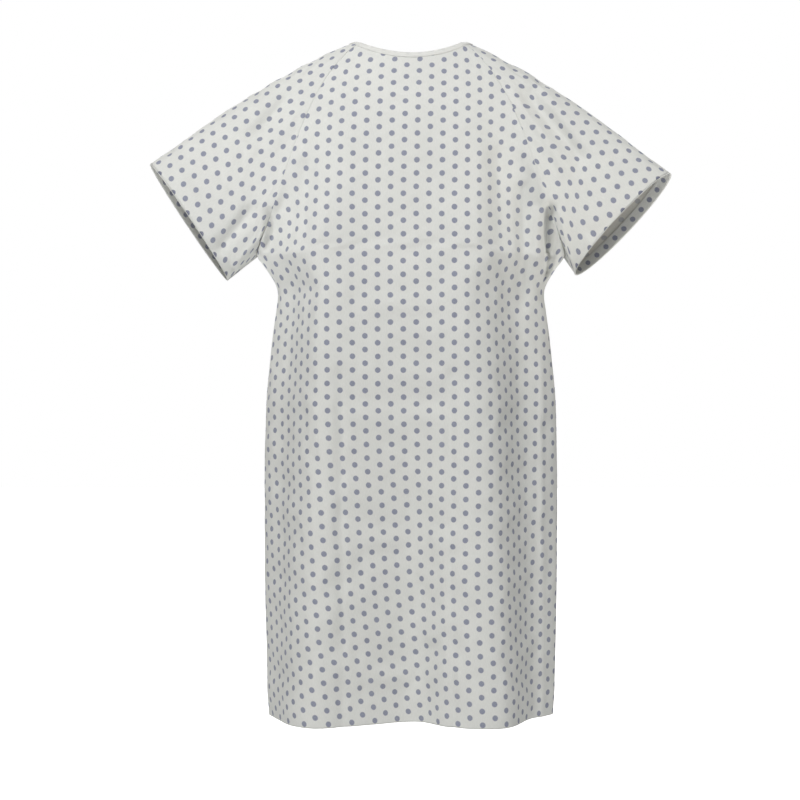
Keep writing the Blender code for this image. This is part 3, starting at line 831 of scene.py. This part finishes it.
def patch(name, hand, back_grid, back_normal):
    """The square of cloth sewn over the end of a waist tie, with its square of stitching and cross."""
    def at(x, z):
        return on_cloth(back_grid, back_normal, hand * (WAIST_TIE[0] + x), PATCH_HEIGHT + z * PATCH_STRETCH)

    spread = np.linspace(-0.5, 0.5, 9) * PATCH
    grid = []
    for dx in spread:
        column = []
        for dz in spread:
            foot, up = at(dx, dz)
            edge = max(abs(dx), dz) > PATCH * 0.49      # the tape comes out under the lower edge
            column.append(foot + up * (0.0004 if edge else 0.0021))
        grid.append(column)
    piece, flat_size = strip(name + "_tie_patch", np.array(grid), COTTON, PATCH_CLOTH)
    h = PATCH / 2 - 0.002
    corners = [(-h, -h), (h, -h), (h, h), (-h, h), (-h, -h), (h, h), (h, -h), (-h, h)]
    walk = []
    for (x1, z1), (x2, z2) in zip(corners, corners[1:]):
        walk += [(mix(x1, x2, t), mix(z1, z2, t)) for t in np.linspace(0, 1, 8)[:-1]]
    spots = [at(x, z) for x, z in walk]
    line = np.array([foot + up * 0.0025 for foot, up in spots])
    thread = stitches(name + "_tie_patch_stitching", line, np.array([up for _, up in spots]))
    return piece, thread, flat_size


# ---- build ------------------------------------------------------------------------------------------
def held(piece, slot, flat, rests="shoulder_rest", area=None):
    """Does nothing with the sheet. flat is its (width, length), and it is not used."""


def hinge_blend(piece, moving, middle, way, start, end):
    """Bakes the piece's placement into its mesh; the cloth is not made to bend over the hinge here."""
    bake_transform(piece)


def sleeve_hinge(hand, name):
    middle, way = np.array([hand * 0.213, 0, -0.080]), np.array([hand * 0.979, 0, 0.204])
    return name + "_sleeve_body", middle, way, -0.011, 0.06


def flap_hinge(hand, name):
    middle, way = np.array([hand * 0.111, 0.112, -0.57]), np.array([hand * -0.9963, 0, -0.0857])
    return name + "_flap_body", middle, way, -0.02, 0.03


def make_front():
    panel, grid = front_panel()
    normal = outward(grid, BODY_MIDDLE)
    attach(panel, "gown")
    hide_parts("front_panel")
    held(panel, "printed_cotton", (0.72, 1.16), area=0.76)

    lines, _ = reached(grid, normal, turned_hem(HEM))
    hem, flat_size = strip("bottom_hem_turn", lines, COTTON)
    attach(hem, "gown")
    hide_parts("bottom_hem")
    held(hem, "printed_cotton", flat_size[::-1])
    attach(sewn_line("bottom_hem_stitching", grid, normal, HEM - HEM_STITCHING), "gown")
    return grid, normal


def make_back(hand, name):
    flap = flap_hinge(hand, name)
    panel, grid = back_panel(hand, name)
    normal = outward(grid, BODY_MIDDLE)
    hinge_blend(panel, *flap)
    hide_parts(name + "_side_back", name + "_back_flap")
    held(panel, "printed_cotton", (0.36, 1.16), area=0.33)

    lines, _ = reached(grid, normal, turned_hem(HEM))
    hem, flat_size = strip(name + "_back_hem_turn", lines, COTTON)
    hinge_blend(hem, *flap)
    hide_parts(name + "_flap_hem")
    held(hem, "printed_cotton", flat_size[::-1])
    hinge_blend(sewn_line(name + "_back_hem_stitching", grid, normal, HEM - HEM_STITCHING), *flap)

    # the facing runs up the edge of the opening, from the hem to the binding
    edge_grid, edge_normal = grid.transpose(1, 0, 2)[:-6], normal.transpose(1, 0, 2)[:-6]
    lines, _ = reached(edge_grid[8:], edge_normal[8:], turned_hem(FACING))
    facing, flat_size = strip(name + "_back_facing_turn", lines, COTTON)
    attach(facing, name + "_flap_body")
    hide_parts(name + "_back_facing")
    held(facing, "printed_cotton", flat_size[::-1])
    thread = sewn_line(name + "_back_facing_stitching", edge_grid, edge_normal, FACING - FACING_STITCHING)
    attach(thread, name + "_flap_body")

    lines, _ = reached(grid[:, ::-1], normal[:, ::-1], BINDING_WRAP)
    binding, flat_size = strip(name + "_back_neck_binding", evened(lines, 0.0025, 2), BIAS, BINDING_CLOTH)
    hinge_blend(binding, *flap)
    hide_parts(name + "_back_binding")
    held(binding, "bias_binding", flat_size[::-1])
    return grid, normal


def make_ties(hand, name, back_grid, back_normal):
    for label, place, sewn in (("neck", NECK_TIE, 0.0), ("waist", WAIST_TIE, WAIST_SEWN)):
        tape, flat_size = hanging_tie(name + "_" + label + "_tape", hand, place, sewn, back_grid, back_normal)
        body = name + "_" + label + "_tie_body"
        if sewn:
            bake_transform(tape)
        else:
            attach(tape, body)
        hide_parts(name + "_" + label + "_tie")
        held(tape, "tie_tape", flat_size, rests=name + "_back_panel")
    square, thread, flat_size = patch(name, hand, back_grid, back_normal)
    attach(square, name + "_flap_body")
    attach(thread, name + "_flap_body")
    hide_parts(name + "_waist_tie_patch")
    held(square, "printed_cotton", flat_size)


def make_sleeve(hand, name):
    swing = sleeve_hinge(hand, name)
    arm, grid, normal = sleeve(hand, name)
    hinge_blend(arm, *swing)
    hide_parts(name + "_shoulder", name + "_sleeve")
    held(arm, "printed_cotton", (0.50, 0.40), area=0.14)

    from_hem, turned = grid[:, ::-1], normal[:, ::-1]
    lines, _ = reached(from_hem, turned, turned_hem(SLEEVE_HEM))
    hem, flat_size = strip(name + "_sleeve_hem_turn", lines, COTTON)
    hinge_blend(hem, *swing)
    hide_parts(name + "_sleeve_hem")
    held(hem, "printed_cotton", flat_size[::-1])
    thread = sewn_line(name + "_sleeve_hem_stitching", from_hem, turned, SLEEVE_HEM - HEM_STITCHING)
    hinge_blend(thread, *swing)
    at_neck = slice(RAGLAN_RINGS, RAGLAN_RINGS + NECK_RINGS - 1)
    return grid[at_neck, :NECK_ROWS], normal[at_neck, :NECK_ROWS]


def make_allowances(hand, name, front, back):
    """The raglan and side seams, inside. front and back are each panel's grid and its normals."""
    rising = slice(None, None, -1) if hand > 0 else slice(None)
    front_lines, front_turn = (part[rising].transpose(1, 0, 2) for part in front)
    back_lines, back_turn = (part[::-1].transpose(1, 0, 2) for part in back)
    armpit = BODY_ROWS // 2
    raglan_rows, side_rows = slice(armpit + 2, -3), slice(14, armpit - 2)
    for label, node, lines, turned in (
            ("front_raglan", "_front_raglan_seam", front_lines[raglan_rows], front_turn[raglan_rows]),
            ("back_raglan", "_back_raglan_seam", back_lines[raglan_rows], back_turn[raglan_rows]),
            ("side", "_side_seam", front_lines[side_rows], front_turn[side_rows])):
        grid, _ = reached(lines, turned, ALLOWANCE)
        piece, flat_size = strip(name + "_" + label + "_allowance", grid, INSIDE_PAINTED_GLOW, ALLOWANCE_CLOTH)
        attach(piece, "gown")
        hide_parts(name + node)
        held(piece, "seam_allowance", flat_size[::-1])


def make_neck_binding(parts):
    """parts are lines of cloth and their normals, from one side of the back round the front to the other."""
    wrap = [reached(lines, turned, BINDING_WRAP)[0] for lines, turned in parts]
    binding, flat_size = strip("neck_bias_binding", evened(np.concatenate(wrap), 0.0025, 5), BIAS, BINDING_CLOTH)
    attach(binding, "gown")
    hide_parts("neck_binding")
    held(binding, "bias_binding", flat_size[::-1])


def build():
    front = make_front()
    neck = [tuple(part[::-1, ::-1][:, :NECK_ROWS] for part in front)]
    for hand, name in SIDES:
        back = make_back(hand, name)
        make_ties(hand, name, *back)
        side = make_sleeve(hand, name)
        if hand > 0:
            neck.insert(0, tuple(part[::-1] for part in side))
        else:
            neck.append(side)
        make_allowances(hand, name, front, back)
    make_neck_binding(neck)


# ---- stage, light and camera ------------------------------------------------------------------------
def stage():
    bpy.ops.mesh.primitive_plane_add(size=30, location=(0, 0, -1.45))
    floor = bpy.context.object
    floor.name = "floor"
    material = bpy.data.materials.new("pale_floor")
    material.use_nodes = True
    shader = material.node_tree.nodes["Principled BSDF"]
    shader.inputs["Base Color"].default_value = (0.9, 0.9, 0.9, 1)
    shader.inputs["Roughness"].default_value = 0.9
    shader.inputs["Emission Color"].default_value = (1, 1, 1, 1)
    tree = material.node_tree
    path = tree.nodes.new("ShaderNodeLightPath")
    white = range_node(tree, path.outputs["Is Camera Ray"], 0.0, 1.0, 0.1, 1.0)
    link(tree, white, shader.inputs["Emission Strength"])
    floor.data.materials.append(material)


def area_light(name, place, aim, size, energy, colour):
    data = bpy.data.lights.new(name, "AREA")
    data.shape = "DISK"
    data.size = size
    data.energy = energy
    data.color = colour
    lamp = bpy.data.objects.new(name, data)
    lamp.location = place
    lamp.rotation_euler = (Vector(aim) - Vector(place)).to_track_quat("-Z", "Y").to_euler()
    bpy.context.scene.collection.objects.link(lamp)


def studio():
    world = bpy.data.worlds.new("studio")
    world.use_nodes = True
    tree = world.node_tree
    background = tree.nodes["Background"]
    path = tree.nodes.new("ShaderNodeLightPath")
    place = tree.nodes.new("ShaderNodeTexCoord")
    split = tree.nodes.new("ShaderNodeSeparateXYZ")
    link(tree, place.outputs["Generated"], split.inputs[0])
    sideways = math_node(tree, "ABSOLUTE", split.outputs["X"])
    glow = range_node(tree, sideways, 0.30, 0.90, 0.39, 0.06)
    seen = path.outputs["Is Camera Ray"]
    strength = math_node(tree, "MAXIMUM", glow, seen)
    link(tree, strength, background.inputs["Strength"])
    background.inputs["Color"].default_value = (1.0, 1.0, 1.0, 1)
    bpy.context.scene.world = world
    bpy.context.scene.view_settings.view_transform = "Standard"
    area_light("key", (-0.6, -2.6, 2.5), (0, 0, -0.4), 1.6, 94, (1.0, 1.0, 1.0))
    area_light("behind", (-0.2, 3.0, 1.4), (0, 0, -0.5), 1.2, 60, (1.0, 1.0, 1.0))
    for hand, energy in ((1, 78), (-1, 60)):
        spot = bpy.data.lights.new("sleeve_reflector", "SPOT")
        spot.energy = energy
        spot.color = (1.0, 0.96, 0.90) if hand > 0 else (0.97, 0.98, 1.0)
        spot.spot_size = radians(17)
        spot.spot_blend = 0.8
        spot.shadow_soft_size = 0.25
        lamp = bpy.data.objects.new("sleeve_reflector", spot)
        lamp.location = (hand * 1.70, -0.30, -1.28)
        aim = Vector((hand * 0.37, -0.02, -0.30)) - lamp.location
        lamp.rotation_euler = aim.to_track_quat("-Z", "Y").to_euler()
        bpy.context.scene.collection.objects.link(lamp)


def camera():
    data = bpy.data.cameras.new("camera")
    distance = 3.2
    width = 1.352
    data.lens = data.sensor_width * distance / width
    view = bpy.data.objects.new("camera", data)
    view.location = (-0.0186, -distance, -0.6016)
    view.rotation_euler = (pi / 2, 0, 0)
    bpy.context.scene.collection.objects.link(view)
    bpy.context.scene.camera = view


build()
stage()
studio()
camera()
